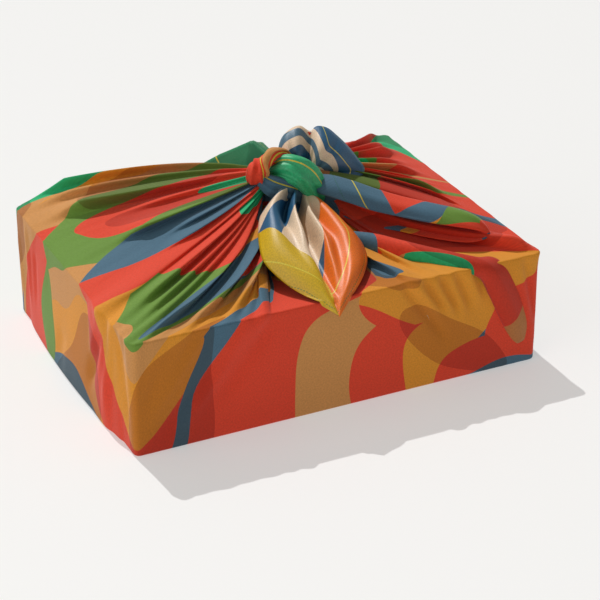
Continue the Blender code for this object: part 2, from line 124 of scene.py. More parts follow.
def gridMesh(across, along, pointAt, flatAt):
    # a grid whose vertices are moved to pointAt(u, v), with flat cloth metres from flatAt(u, v) as its UV map
    mesh = bmesh.new()
    bmesh.ops.create_grid(mesh, x_segments=across, y_segments=along, size=0.5)
    flat = {}
    for vertex in mesh.verts:
        u, v = [round((vertex.co[i] + 0.5) * count) / count for i, count in enumerate((across, along))]
        vertex.co = pointAt(u, v)
        flat[vertex] = flatAt(u, v)
    uvLayer = mesh.loops.layers.uv.new("flat")
    for face in mesh.faces:
        for loop in face.loops:
            loop[uvLayer].uv = flat[loop.vert]
    return mesh


def finished(name, mesh):
    data = bpy.data.meshes.new(name)
    mesh.to_mesh(data)
    mesh.free()
    data.shade_smooth()
    piece = bpy.data.objects.new(name, data)
    bpy.context.scene.collection.objects.link(piece)
    return piece


def joinInto(name, pieces):
    bpy.ops.object.select_all(action="DESELECT")
    for piece in pieces:
        piece.select_set(True)
    bpy.context.view_layer.objects.active = pieces[0]
    bpy.ops.object.join()
    pieces[0].name = name
    return pieces[0]


# Materials. One function turns sRGB hex into linear colour, and one adds a node.

def linear(hexColour):
    parts = [int(hexColour[i:i + 2], 16) / 255 for i in (1, 3, 5)]
    return tuple(p / 12.92 if p <= 0.04045 else ((p + 0.055) / 1.055) ** 2.4 for p in parts) + (1.0,)


def fill(tree, node, inputs):
    # inputs by name, or in the order of the sockets in use. A node among them stands for its first output.
    if not isinstance(inputs, dict):
        inputs = dict(zip([i for i, socket in enumerate(node.inputs) if socket.enabled], inputs))
    for key, value in inputs.items():
        if isinstance(value, bpy.types.Node):
            value = next(output for output in value.outputs if output.enabled)
        if isinstance(value, bpy.types.NodeSocket):
            tree.links.new(value, node.inputs[key])
        else:
            node.inputs[key].default_value = value


def addNode(tree, kind, inputs=(), **settings):
    # the kind may end in the node's operation, or the data type of a mix
    kind, _, mode = kind.partition(" ")
    node = tree.nodes.new("ShaderNode" + kind)
    if mode:
        settings["data_type" if kind == "Mix" else "operation"] = mode
    for name, value in settings.items():
        setattr(node, name, value)
    fill(tree, node, inputs)
    return node


def newMaterial(name):
    made = bpy.data.materials.new(name)
    made.use_nodes = True
    return made, partial(addNode, made.node_tree), made.node_tree.nodes["Principled BSDF"]


# Print colours, except the darker green of the back corner, which is emerald with painted shade
clothColours = {
    "coral": "#DF4328", "marigold": "#DE9229", "tan": "#CD9050", "slate": "#4A6D82", "leaf": "#6A9038",
    "emerald": "#28B476", "emeraldWithPaintedShade": "#1F8A5A", "cream": "#E8CDAE", "deepBlue": "#1F5A80",
    "mustard": "#D2AC0A", "orange": "#EC700A", "thread": "#DCCB3C",
}

prints = {
    "clothSide": 0.680,  # hem to hem
    "bandTurn": 0.62,  # which way the bands run on the cloth, in radians
    "bandSpan": 0.52,  # after this many metres the bands repeat
    "secondTurn": -1.25,  # the second bands, against the first
    "secondSpan": 0.9,
    "firstShift": 0.03, "secondShift": 0.21, "satinShift": 0.05,
    "waves": ((19.0, 0.022), (41.0, 0.007)),  # radians per metre along a band, and metres to its side
    "wander": (7.0, 0.11),  # times per metre, and how far a line strays
    "ovals": ((8.5, 5.5), 0.35, 0.40),  # per metre each way, shift and reach
    "darkOvals": ((5.2, 10.4), 1.7, 0.30),
    "darkTone": ("#B07A60", 0.5),
    "lineFromHem": 15 * mm,
    "lineWide": 0.8 * mm,
    "ripple": (60.0, 5 * mm),  # of a satin border: radians per metre, and reach
    "threadPitch": 0.7 * mm,  # the real cloth has about 3 threads a mm, drawn coarser to show
    "fibres": 850.0,  # per metre, about 1 mm each, as fine as the render shows
    "dye": (22.0, 0.10),  # per metre, and strength
    "weaveShare": 0.3, "fibreShare": 0.7,  # of the cloth's relief
    "reliefHigh": 0.15 * mm,
    "hemWide": 3.0 * mm,
    "hemHigh": 1.5,  # against the relief
    "stitchPitch": 2.6 * mm,
    "stitchLong": 0.62,  # share of the pitch
    "seamInset": 0.5 * mm, "seamHalf": 0.3 * mm, "seamShows": 0.7,
    "sheenRoughness": 0.45,
}

# Widths are shares of the span. The bands cross each other, and ovals show one system through the other.
firstBands = (
    ("coral", 0.15), ("tan", 0.09), ("coral", 0.08), ("marigold", 0.11), ("slate", 0.09), ("emerald", 0.07),
    ("coral", 0.12), ("leaf", 0.07), ("tan", 0.05), ("marigold", 0.09), ("slate", 0.08),
)
secondBands = (
    ("marigold", 0.14), ("coral", 0.13), ("slate", 0.12), ("leaf", 0.09), ("coral", 0.12), ("tan", 0.08),
    ("emerald", 0.12), ("coral", 0.10), ("slate", 0.10),
)
satinBands = (
    ("cream", 0.26), ("deepBlue", 0.16), ("cream", 0.15), ("slate", 0.1), ("cream", 0.12), ("deepBlue", 0.21),
)


def sine(add, value, rate):
    return add("Math SINE", (add("Math MULTIPLY", (value, rate)),))


def nearTo(add, value, middle, half):
    # 1 where the value is less than half away from the middle
    away = add("Math ABSOLUTE", (add("Math SUBTRACT", (value, middle)),))
    return add("Math LESS_THAN", (away, half))


def stirred(add, flat):
    # the motifs are drawn by hand, so no line is quite even
    scale, reach = prints["wander"]
    slow = add("TexNoise", {"Vector": flat, "Scale": scale, "Detail": 1.0}, noise_dimensions="2D")
    centred = add("VectorMath SUBTRACT", (slow.outputs["Color"], (0.5, 0.5, 0.5)))
    return add("VectorMath ADD", (flat, add("VectorMath SCALE", (centred, reach))))


def wavyBands(add, flat, turn, span, shift, bands):
    turned = add("Mapping", {"Vector": flat, "Rotation": (0, 0, turn), "Location": (shift, 0, 0)})
    parts = add("SeparateXYZ", (turned,))
    place = parts.outputs[0]
    for rate, reach in prints["waves"]:
        wave = add("Math MULTIPLY", (sine(add, parts.outputs[1], rate), reach))
        place = add("Math ADD", (place, wave))
    share = add("Math FRACT", (add("Math DIVIDE", (place, span)),))
    node = add("ValToRGB", {"Fac": share})
    ramp = node.color_ramp
    ramp.interpolation = "CONSTANT"
    at = 0.0
    for index, (colour, wide) in enumerate(bands):
        stop = ramp.elements[index] if index < 2 else ramp.elements.new(at)
        stop.position = at
        stop.color = linear(clothColours[colour])
        at += wide
    return node


def ovals(add, flat, scale, shift, reach):
    moved = add("Mapping", {"Vector": flat, "Scale": (*scale, 1.0), "Location": (shift, shift, 0)})
    cells = add("TexVoronoi", {"Vector": moved, "Scale": 1.0, "Randomness": 0.9},
                voronoi_dimensions="2D", feature="F1")
    return add("Math LESS_THAN", (cells.outputs["Distance"], reach))


def layeredBands(add, flat):
    # inside an oval the second bands show, and darker ovals lie over both
    turn, span = prints["bandTurn"], prints["bandSpan"]
    first = wavyBands(add, flat, turn, span, prints["firstShift"], firstBands)
    second = wavyBands(add, flat, turn + prints["secondTurn"], span * prints["secondSpan"],
                       prints["secondShift"], secondBands)
    colour = add("Mix RGBA", (ovals(add, flat, *prints["ovals"]), first, second))
    shade, share = prints["darkTone"]
    dark = add("Math MULTIPLY", (ovals(add, flat, *prints["darkOvals"]), share))
    return add("Mix RGBA", (dark, colour, linear(shade)), blend_type="MULTIPLY")


def fromHem(add, flat):
    # metres from the nearest side of the flat cloth, metres along it, and 1 where it is one of the first two
    parts = add("SeparateXYZ", (flat,))
    a, b = parts.outputs[0], parts.outputs[1]
    near = []
    for socket in (a, b):
        far = add("Math SUBTRACT", (prints["clothSide"], socket))
        near.append(add("Math MINIMUM", (socket, far)))
    firstSides = add("Math LESS_THAN", near)
    alongHem = add("Mix FLOAT", (firstSides, a, b))
    return add("Math MINIMUM", near), alongHem, firstSides


def clothMaterial(name, face):
    made, add, shader = newMaterial(name)
    flat = add("UVMap", uv_map="flat")
    hem, alongHem, firstSides = fromHem(add, flat)
    edge, border = hem, linear(clothColours[face["borders"][0]])
    if face["satin"]:
        colour = wavyBands(add, flat, face["turn"], face["span"], prints["satinShift"], satinBands)
        rate, reach = prints["ripple"]
        ripple = add("Math MULTIPLY", (sine(add, alongHem, rate), reach))
        edge = add("Math ADD", (hem, ripple))
        other = linear(clothColours[face["borders"][1]])
        border = add("Mix RGBA", (firstSides, other, border))
    else:
        colour = layeredBands(add, stirred(add, flat))
    inBorder = add("Math LESS_THAN", (edge, face["borderWide"]))
    colour = add("Mix RGBA", (inBorder, colour, border))
    onLine = nearTo(add, hem, prints["lineFromHem"], prints["lineWide"] / 2)
    colour = add("Mix RGBA", (onLine, colour, linear(clothColours["thread"])))

    # Uneven dye and single threads break up each flat colour, as seen from a step away
    dyeScale, dyeStrength = prints["dye"]
    grain, wear = [add("TexNoise", {"Vector": flat, "Scale": scale, "Detail": 3.0},
                       noise_dimensions="2D") for scale in (prints["fibres"], dyeScale)]
    grained = add("Math MULTIPLY", (grain, face["grain"]))
    worn = add("Math MULTIPLY", (wear, dyeStrength))
    tone = add("Math ADD", (grained, worn))
    tone = add("Math ADD", (tone, 1.0 - (face["grain"] + dyeStrength) / 2))
    toned = add("VectorMath MULTIPLY", (colour, tone))

    # The hem is folded over twice and stitched
    inHem = add("Math LESS_THAN", (hem, prints["hemWide"]))
    pitches = add("Math DIVIDE", (alongHem, prints["stitchPitch"]))
    stitch = add("Math FRACT", (pitches,))
    dashes = add("Math LESS_THAN", (stitch, prints["stitchLong"]))
    onSeam = nearTo(add, hem, prints["hemWide"] - prints["seamInset"], prints["seamHalf"])
    stitched = add("Math MULTIPLY", (onSeam, dashes))
    shown = add("Math MULTIPLY", (stitched, prints["seamShows"]))
    finalColour = add("Mix RGBA", (shown, toned, linear(face["stitch"])))

    # Plain weave, at a coarse pitch so that it shows
    parts = add("SeparateXYZ", (flat,))
    warp, weft = [sine(add, parts.outputs[i], math.tau / prints["threadPitch"]) for i in (0, 1)]
    weave = add("Math MULTIPLY", (add("Math MULTIPLY", (warp, weft)), prints["weaveShare"]))
    fibres = add("Math MULTIPLY", (grain, prints["fibreShare"]))
    folded = add("Math MULTIPLY", (inHem, prints["hemHigh"]))
    relief = add("Math ADD", (add("Math ADD", (weave, fibres)), folded))
    bump = add("Bump", {"Height": relief, "Strength": face["weave"], "Distance": prints["reliefHigh"]})
    fill(made.node_tree, shader, {"Base Color": finalColour, "Normal": bump, "Roughness": face["roughness"],
                                  "Specular IOR Level": face["specular"], "Sheen Weight": face["sheen"],
                                  "Sheen Roughness": prints["sheenRoughness"]})
    return made


# The outer face is dull, with a soft bloom in grazing sun. The inner one is satin with clear highlights.
dullFace = {
    "satin": False, "borders": ("slate",), "borderWide": 33 * mm, "stitch": "#2E6B50",
    "grain": 0.42, "weave": 0.5, "roughness": 0.75, "specular": 0.25, "sheen": 0.12,
}
satinFace = {
    "satin": True, "span": 0.16, "turn": 1.52, "borders": ("mustard", "orange"), "borderWide": 33 * mm,
    "stitch": "#3F7A3A", "grain": 0.70, "weave": 0.35, "roughness": 0.42, "specular": 0.65, "sheen": 0.0,
}
lilyFace = dict(satinFace, span=0.075, turn=0.35, borders=("deepBlue", "deepBlue"), borderWide=24 * mm)
# The back corner is all one darker green: the cloth's emerald with painted shade for the corner that lies in
# shadow.
cornerFace = dict(dullFace, borders=("emeraldWithPaintedShade",), borderWide=90 * mm, roughness=0.45, specular=0.5)
dullCloth = clothMaterial("viscose twill, printed dull face", dullFace)
satinCloth = clothMaterial("viscose twill, satin reverse", satinFace)
lilyCloth = clothMaterial("viscose twill, satin reverse, blue border", lilyFace)
cornerCloth = clothMaterial("viscose twill, pine border", cornerFace)
print("stage: cloth materials")


# The wrapped sheet

folds = rowsOf("crest before after rim mid begin climb lean reach", (
    (54, 7, 8, 2.5, 4, 0, 0.2, 3, 10), (66, 7, 7, 0.8, 3, 0.05, 0.3, 0, 12),
    (78, 10, 9, 1, 7.5, 0.02, 0.3, -3, 22), (94, 8, 8, 0.4, 3.5, 0.16, 0.3, -1, 20),
    (107, 9, 12, 1.2, 8, 0.02, 0.28, -4, 30), (124, 7, 8, 0.4, 3, 0.14, 0.3, -1, 26),
    (135, 8, 7, 1.3, 7.5, 0.02, 0.24, -4, 24), (147, 5, 6, 1.4, 3, 0, 0.25, -1, 24),
    (157, 6, 6, 0.8, 5, 0.06, 0.26, -2, 30), (169, 7, 9, 0.8, 9, 0.08, 0.3, -5, 50),
    (188, 12, 22, 4.5, 2, 0, 0.3, -2, 60), (205, 7, 14, 0, 5, 0.36, 0.25, -3, 20),
    (226, 7, 14, 0, 4, 0.44, 0.25, -2, 20), (252, 8, 30, 0.2, 9, 0.22, 0.24, -5, 30),
    (290, 8, 14, 0.3, 3, 0.3, 0.3, -1, 26), (317, 9, 20, 0.6, 11, 0.04, 0.26, -6, 30),
    (338, 7, 10, 0.4, 6, 0.03, 0.2, -3, 20), (357, 9, 30, 0.6, 13, 0.02, 0.24, -6, 16),
    (392, 9, 14, 0.4, 4, 0.06, 0.3, 0, 16), (412, 11, 11, 0.5, 5, 0.06, 0.3, 1, 16),
    (432, 10, 12, 0.5, 3.5, 0.06, 0.3, 0, 16), (554, 12, 12, 0.5, 4, 0.06, 0.3, 0, 16),
    (574, 11, 11, 0.5, 4.5, 0.06, 0.3, 0, 16), (595, 11, 11, 0.4, 6, 0.06, 0.3, 1, 16),
    (614, 9, 10, 0.4, 5, 0.06, 0.3, 1, 16), (630, 9, 12, 0.5, 7.5, 0.05, 0.25, 3, 16),
    (650, 11, 8, 0.3, 5.5, 0.06, 0.28, 2, 16), (667, 15, 8, 0.3, 7.5, 0.07, 0.26, 3, 16),
    (690, 14, 7, 0.2, 4.5, 0.1, 0.28, 2, 14), (713, 18, 8, 0.2, 7, 0.08, 0.28, 4, 14),
    (734, 13, 7, 0.2, 4.5, 0.12, 0.28, 3, 14), (754, 16, 8, 0.2, 7.5, 0.1, 0.24, 4, 14),
    (778, 15, 8, 0.2, 6, 0.12, 0.22, 4, 14), (812, 22, 14, 0.2, 5, 0.16, 0.24, 3, 12),
    (838, 18, 8, 1, 9, 0, 0.12, 5, 12), (878, 10, 10, 0.4, 1.2, 0.3, 0.3, 1, 60),
    (900, 9, 8, 0.6, 3, 0.1, 0.3, 2, 40), (918, 8, 8, 0.8, 4, 0.04, 0.3, 2, 40),
    (936, 15, 5, 2.6, 4.5, 0, 0.16, 4, 14),
))

# Where each way of a fan ends on the knot, how its height grows and how it curves
wayColumns = "place turn rise bow"
leftWays = rowsOf(wayColumns, (
    (50, -150, 1.3, -3), (107, -116, 1.5, -9), (135, -100, 1.6, -8), (170, -80, 1.1, 0), (250, -46, 0.9, 1),
    (319, -16, 0.8, 2), (357, 10, 0.75, 17), (400, 73, 0.8, 13), (442, 150, 1, 0),
))
rightWays = rowsOf(wayColumns, (
    (540, 150, 1, 0), (595, 105, 0.9, -1), (632, 75, 0.8, -2), (722, 30, 1, -8), (765, 7, 1.3, -18),
    (800, -15, 1.6, -28), (821, -35, 2.6, -22), (843, -58, 3.4, -2), (869, -85, 3.4, 6),
    (911, -122, 2.4, 2), (943, -150, 1.7, 1),
))
fanTable = {
    "left": {"ways": leftWays, "centre": (-10, 2, 109), "radii": (10, 12), "side": -1},
    "right": {"ways": rightWays, "centre": (30, 2, 104), "radii": (10, 11), "side": 1},
}

drape = {
    "fanGap": 1.65, "flapGap": 5.0, "webGap": 0.9,  # mm between columns at the rim
    "webColumns": 6,  # a web joins a flap to a fan
    "webTurn": 4,  # power with which its flat place leaves the fan's
    "frontHem": (31, -13, -2.5),  # both ends in x, and y, of a flap's edge at the knot
    "backHem": (-13, 31, 2.5),
    "flapLift": 0.3, "flapRise": 1.6,
    "flapNeck": 0.9, "flapReach": 287,  # where that edge lies on the flat cloth, in mm
    "neckDepth": 326, "neckCurve": 96, "neckHalf": 251,
    "wallRows": 18, "wallCrowding": 0.75,  # rows are closer under the rim
    "topRows": 40, "topCrowding": 1.25,
    "sharpness": 1.15,  # of a fold's crest
    "leanMore": 2.2,
    "gathering": 0.80,  # share of its width that a fold loses at the knot
    "steepest": 1.25,
    "sinkFrom": 0.55, "knotFold": 1.6,  # folds end at one height at the knot
    "wrinkle": 0.4,  # mm, of the fine folds between the named ones
    "wrinkles": ((7.5, 1.7, 1.0, 1.0), (3.6, 2.3, 7.0, 0.5)),  # mm wide, times along, seed, share
    "wrinkleFrom": 0.12, "wrinkleFade": 0.75,
    "rimTurn": 0.13, "knotTurn": (1 / 3, 1.5),  # where folds turn upright, and then out from the knot
    "softWide": 26, "softHigh": 45, "softDeep": 0.5, "softEdge": 6,  # mm, of the walls' slow unevenness
    "creaseEdge": (4, 0.4), "creaseStart": (0.2, 0.35), "creaseEnd": 0.35,
    "thick": 0.6 * mm,
}

slantRows = rowsOf("place slant", (
    (0, 0), (50, 0.6), (120, 0.5), (141, 0), (178, -0.1), (230, 0), (800, 0), (841, -0.3), (869, -0.7),
    (943, -0.5), (981, 0),
))
turnRows = rowsOf("place turn", (
    (0, -90), (60, -95), (140, -124), (200, -155), (245, -180), (290, -205), (350, -236), (430, -265),
    (490.6, -270), (551, -275), (631, -304), (690, -335), (735.9, -360), (781, -385), (841, -416),
    (921, -445), (981.2, -450),
))

footBulge = {"from": 160, "to": 330, "out": 5 * mm, "fullness": 0.6}

# Drag folds and creases on the walls: ridges stand out, and troughs have a rise below nothing
wallCreases = rowsOf("fromPlace fromHeight toPlace toHeight wide rise", (
    (62, 77, 112, 10, 7, 1.9), (76, 60, 128, 6, 7, -1.8), (95, 72, 132, 20, 5, 1.4),
    (50, 70, 90, 20, 9, -1.6), (112, 70, 136, 30, 5, -0.8), (20, 60, 50, 22, 16, -0.6),
    (941, 77, 905, 26, 5, -2.6), (933, 77, 914, 50, 3.4, 1.8), (927, 77, 908, 48, 3.2, -2),
    (921, 77, 903, 46, 3.4, 1.8), (915, 77, 898, 44, 3.2, -2.2), (909, 77, 894, 44, 3.4, 1.7),
    (903, 77, 890, 46, 3.2, -2), (896, 77, 884, 50, 3.4, 1.6), (889, 77, 880, 54, 3.2, -1.6),
    (862, 76, 846, 24, 6, 1.2), (856, 76, 843, 8, 6, 1.2), (854, 77, 842, 22, 4, -1.6),
    (172, 77, 180, 4, 7, 1.8), (184, 66, 212, 12, 9, -2.4), (206, 76, 199, 30, 10, 1.4),
    (160, 70, 150, 10, 7, -1.6), (330, 72, 322, 14, 6, 1.2), (313, 60, 309, 20, 6, -1),
    (345, 60, 342, 10, 4, 0.8), (255, 30, 262, 2, 12, -1), (420, 77, 392, 20, 9, 0.9),
    (450, 77, 430, 14, 10, -0.8), (560, 77, 592, 16, 9, 0.9), (640, 72, 650, 12, 7, 1),
    (670, 76, 680, 18, 8, -0.9), (720, 74, 732, 10, 10, 0.8), (790, 74, 806, 14, 8, -0.9),
    (826, 70, 832, 10, 6, 1),
))


def rimPoint(place, inset=0.0):
    # a point on the rounded outline and the direction out of it
    place = (place % rimTotal) * mm
    corners = ((-halfLength, -halfWidth), (-halfLength, halfWidth), (halfLength, halfWidth),
               (halfLength, -halfWidth))
    places = (halfLength, halfLength + 2 * halfWidth, 3 * halfLength + 2 * halfWidth,
              3 * halfLength + 4 * halfWidth)
    outward = (Vector((0, -1)), Vector((-1, 0)), Vector((0, 1)), Vector((1, 0)), Vector((0, -1)))
    side = sum(place > corner for corner in places)
    start = (0, -halfWidth) if side == 0 else corners[side - 1]
    way = Vector((outward[side].y, -outward[side].x))
    point = Vector(start) + way * (place if side == 0 else place - places[side - 1])
    normal = outward[side]
    radius = parcel["edgeRadius"]
    for index, corner in enumerate(places):
        near = place - corner
        if abs(near) < radius:
            turn = math.radians(45) * (1 + near / radius)
            normal = outward[index] * math.cos(turn) + outward[index + 1] * math.sin(turn)
            point = Vector(corners[index]) - (outward[index] + outward[index + 1]) * radius + normal * radius
    return point - normal * inset, normal


def foldAt(place, amount):
    height = lean = 0.0
    for fold in folds:
        away = place - fold["crest"]
        share = abs(away) / (fold["after"] if away > 0 else fold["before"])
        if share < 1:
            here = amount(fold) * (0.5 + 0.5 * math.cos(math.pi * share)) ** drape["sharpness"]
            if here > height:
                height, lean = here, fold["lean"] * here / max(fold["mid"], 1)
    return height * mm, lean * mm


def fanColumn(fan, place):
    rows = fan["ways"]
    turn = math.radians(readAt(rows, "turn", place))
    outward = Vector((0, math.sin(turn), math.cos(turn)))
    knot = Vector(fan["centre"]) + Vector((0, fan["radii"][0] * outward.y, fan["radii"][1] * outward.z))
    first, last = rows[0]["place"], rows[-1]["place"]
    across = (2 * (place - first) / (last - first) - 1) * -fan["side"]
    neck = Vector(((drape["neckDepth"] - drape["neckCurve"] * across ** 2) * fan["side"],
                   drape["neckHalf"] * across))
    return {"place": place, "knot": knot * mm, "outward": outward, "fan": True, "neck": neck,
            "rise": readAt(rows, "rise", place), "bow": readAt(rows, "bow", place) * mm}


def fanColumns(fan):
    first, last = fan["ways"][0]["place"], fan["ways"][-1]["place"]
    count = round((last - first) / drape["fanGap"])
    return [fanColumn(fan, first + (last - first) * step / count) for step in range(count + 1)]


def flapColumns(hem, side, before, after):
    start, end = before["place"], after["place"]
    if end < start:
        end += rimTotal
    webs, narrow = drape["webColumns"], drape["webGap"]
    flat = round((end - start) / drape["flapGap"])
    count = flat + 2 * webs
    columns = []
    for step in range(1, count + 1):
        alongHem = clamp((step - webs - 0.5) / (flat - 1))
        middle = (end - start - 2 * webs * narrow) * clamp((step - webs) / (flat + 1))
        place = start + narrow * (min(step, webs) + max(0, step - webs - flat - 1)) + middle
        lift = parcelHeight / mm + drape["flapLift"]
        knot = Vector((hem[0] + (hem[1] - hem[0]) * alongHem, hem[2], lift)) * mm
        neck = Vector((rimPoint(place)[0].x / mm * drape["flapNeck"], side * drape["flapReach"]))
        fromEdge = min(step, count + 1 - step) / (webs + 1)
        if fromEdge < 1:
            edge = before if step <= webs else after
            knot = edge["knot"].lerp(knot, fromEdge)
            neck = edge["neck"].lerp(neck, fromEdge ** drape["webTurn"])
        columns.append({"place": place, "knot": knot, "outward": upright, "fan": False,
                        "neck": neck, "rise": drape["flapRise"], "bow": 0.0})
    return columns


left, right = fanColumns(fanTable["left"]), fanColumns(fanTable["right"])
columns = (left + flapColumns(drape["backHem"], 1, left[-1], right[0])
           + right + flapColumns(drape["frontHem"], -1, right[-1], left[0]))


def bulgeAt(place, height):
    span = (place - footBulge["from"]) / (footBulge["to"] - footBulge["from"])
    if not 0 < span < 1:
        return 0.0
    swell = math.sin(math.pi * span) ** footBulge["fullness"] * eased(1 - height / parcelHeight)
    return footBulge["out"] * swell


def creaseAt(place, height):
    # the sum of the creases near a point of a wall, in metres
    out = 0.0
    for crease in wallCreases:
        low, high = sorted((crease["fromPlace"], crease["toPlace"]))
        if not low - crease["wide"] < place < high + crease["wide"]:
            continue
        start = Vector((crease["fromPlace"], crease["fromHeight"]))
        way = Vector((crease["toPlace"], crease["toHeight"])) - start
        here = Vector((place, height / mm)) - start
        share = clamp(here.dot(way) / way.length_squared)
        away = (here - way * share).length
        if away < crease["wide"]:
            grown, begun = drape["creaseStart"]
            fade = eased(share / grown + begun) * eased((1 - share) / drape["creaseEnd"])
            out += crease["rise"] * fade * (0.5 + 0.5 * math.cos(math.pi * away / crease["wide"]))
    return out * mm


def wallPoint(column, height, inset=0.0):
    place = column["place"] % rimTotal
    down = (parcelHeight - height) / mm
    above = place - readAt(slantRows, "slant", place) * down
    out, _ = foldAt(above, lambda fold: fold["rim"] * math.exp(-down / fold["reach"]))
    spot = Vector((place / drape["softWide"], height / mm / drape["softHigh"], 3.0))
    free = eased(down / drape["softEdge"]) * eased(height / mm / drape["softEdge"])
    soft = noise.noise(spot) * drape["softDeep"] * mm * free
    grown, begun = drape["creaseEdge"]
    out += bulgeAt(place, height) + creaseAt(place, height) * eased(down / grown + begun) + soft - inset
    point, normal = rimPoint(place)
    return Vector((point.x + normal.x * out, point.y + normal.y * out, height))


def foldHeight(fold, station):
    grown = eased((station - fold["begin"]) / fold["climb"])
    height = fold["rim"] + (fold["mid"] - fold["rim"]) * grown
    sunk = eased((station - drape["sinkFrom"]) / (1 - drape["sinkFrom"]))
    height += (drape["knotFold"] - height) * sunk
    narrowed = min(fold["before"], fold["after"]) * (1 - drape["gathering"] * station)
    return min(height, drape["steepest"] * narrowed)


def topPoint(column, station):
    inset = parcel["rimRadius"]
    rim, normal = rimPoint(column["place"], inset)
    knot = column["knot"]
    start = Vector((rim.x, rim.y, parcelHeight))
    point = start.lerp(knot, station)
    point.z = start.z + (knot.z - start.z) * station ** column["rise"]
    if not column["fan"]:
        return point
    way = Vector((knot.x - rim.x, knot.y - rim.y, 0)).normalized()
    clockwise = Vector((-way.y, way.x, 0))
    height, lean = foldAt(column["place"], lambda fold: foldHeight(fold, station))
    fine = sum(part * noise.noise(Vector((column["place"] / wide, station * along, seed)))
               for wide, along, seed, part in drape["wrinkles"])
    fade = eased(station / drape["wrinkleFrom"]) * (1 - drape["wrinkleFade"] * station)
    height += fine * drape["wrinkle"] * mm * fade
    atRim = Vector((normal.x, normal.y, 1)).normalized()
    upward = atRim.lerp(upright, eased(station / drape["rimTurn"]))
    begin, quick = drape["knotTurn"]
    upward = upward.lerp(column["outward"], eased((station - begin) * quick)).normalized()
    swing = math.sin(math.pi * station)
    return point + upward * height + clockwise * (lean * drape["leanMore"] + column["bow"]) * swing


# Rows of the sheet: the foot, the walls, the rounded rim and the way to the knot
wallHeight = parcelHeight - parcel["rimRadius"] - parcel["footRadius"]
wallSteps, topSteps = drape["wallRows"], drape["topRows"]
footRows = [("foot", step / 3) for step in range(3)]
wallRows = [("wall", parcel["footRadius"] + wallHeight * (step / wallSteps) ** drape["wallCrowding"])
            for step in range(wallSteps + 1)]
rimRows = [("rim", step / 3) for step in (1, 2)]
topRows = [("top", (step / topSteps) ** drape["topCrowding"]) for step in range(topSteps + 1)]
sheetRows = footRows + wallRows + rimRows + topRows


def sheetPoint(column, row):
    kind, value = row
    if kind == "foot":
        radius, turn = parcel["footRadius"], value * math.pi / 2
        return wallPoint(column, radius * (1 - math.cos(turn)), radius * (1 - math.sin(turn)))
    if kind == "wall":
        return wallPoint(column, value)
    if kind == "rim":
        low, high = wallPoint(column, parcelHeight - parcel["rimRadius"]), topPoint(column, 0.0)
        corner = Vector((low.x, low.y, high.z))
        return low.lerp(corner, value).lerp(corner.lerp(high, value), value)
    return topPoint(column, value)


def flatPoint(column, row, point):
    # where a point of the wrapped sheet lies on the flat cloth: p along the box, q across it, both in mm
    place = column["place"] % rimTotal
    base, _ = rimPoint(place)
    turn = math.radians(readAt(turnRows, "turn", place))
    kind, value = row
    height = min(point.z, parcelHeight) / mm if kind != "top" else parcelHeight / mm
    flat = Vector((base.x, base.y)) / mm + Vector((math.cos(turn), math.sin(turn))) * height
    if kind == "top":
        flat = flat.lerp(column["neck"], value)
    return toSquare(flat)


def toSquare(flat):
    # from the cloth's diagonals to its sides, in metres from one corner
    half = prints["clothSide"] / 2
    p, q = flat.x * mm, flat.y * mm
    return (p + q) / math.sqrt(2) + half, (q - p) / math.sqrt(2) + half


def wrappedSheet():
    count, last = len(columns), len(sheetRows) - 1

    def pointAt(u, v):
        return sheetPoint(columns[round(u * count) % count], sheetRows[round(v * last)])

    def flatAt(u, v):
        column, row = columns[round(u * count) % count], sheetRows[round(v * last)]
        return flatPoint(column, row, sheetPoint(column, row))

    mesh = gridMesh(count, last, pointAt, flatAt)
    bmesh.ops.remove_doubles(mesh, verts=mesh.verts, dist=weldGap)
    foot = [edge for edge in mesh.edges if edge.is_boundary and edge.verts[0].co.z < parcel["footRadius"] / 2]
    made = bmesh.ops.contextual_create(mesh, geom=foot)
    uvLayer = mesh.loops.layers.uv["flat"]
    for face in made["faces"]:
        for loop in face.loops:
            loop[uvLayer].uv = toSquare(Vector((loop.vert.co.x, loop.vert.co.y)) / mm)
    bmesh.ops.recalc_face_normals(mesh, faces=mesh.faces)
    return finished("wrappedSheet", mesh)


sheet = wrappedSheet()
print("stage: wrapped sheet,", len(sheet.data.polygons), "faces")


# The two flaps run on under the fans, flat on the box
underFlaps = {
    "grid": (24, 16), "halfWide": 134, "reach": 92, "inset": 3 * mm, "taper": 0.12,
    "wave": (23, 3, 0.04),  # radians across and along, and mm high
    "frontZ": parcelHeight - 1.0 * mm, "backZ": parcelHeight - 1.85 * mm,
}


def underFlap(name, side, height):
    start = -halfWidth + underFlaps["inset"]
    across, along, high = underFlaps["wave"]

    def pointAt(u, v):
        x = (2 * u - 1) * underFlaps["halfWide"] * mm
        y = start + (underFlaps["reach"] * mm - start) * v
        z = height + math.sin(u * across + v * along) * high * mm
        return Vector((x * (1 - underFlaps["taper"] * v), -side * y, z))

    def flatAt(u, v):
        point = pointAt(u, v)
        fromMiddle = halfWidth + parcelHeight + abs(point.y + side * halfWidth)
        return toSquare(Vector((point.x / mm, side * fromMiddle / mm)))

    mesh = gridMesh(*underFlaps["grid"], pointAt, flatAt)
    bmesh.ops.recalc_face_normals(mesh, faces=mesh.faces)
    return finished(name, mesh)


flaps = [underFlap("frontFlap", -1, underFlaps["frontZ"]), underFlap("backFlap", 1, underFlaps["backZ"])]


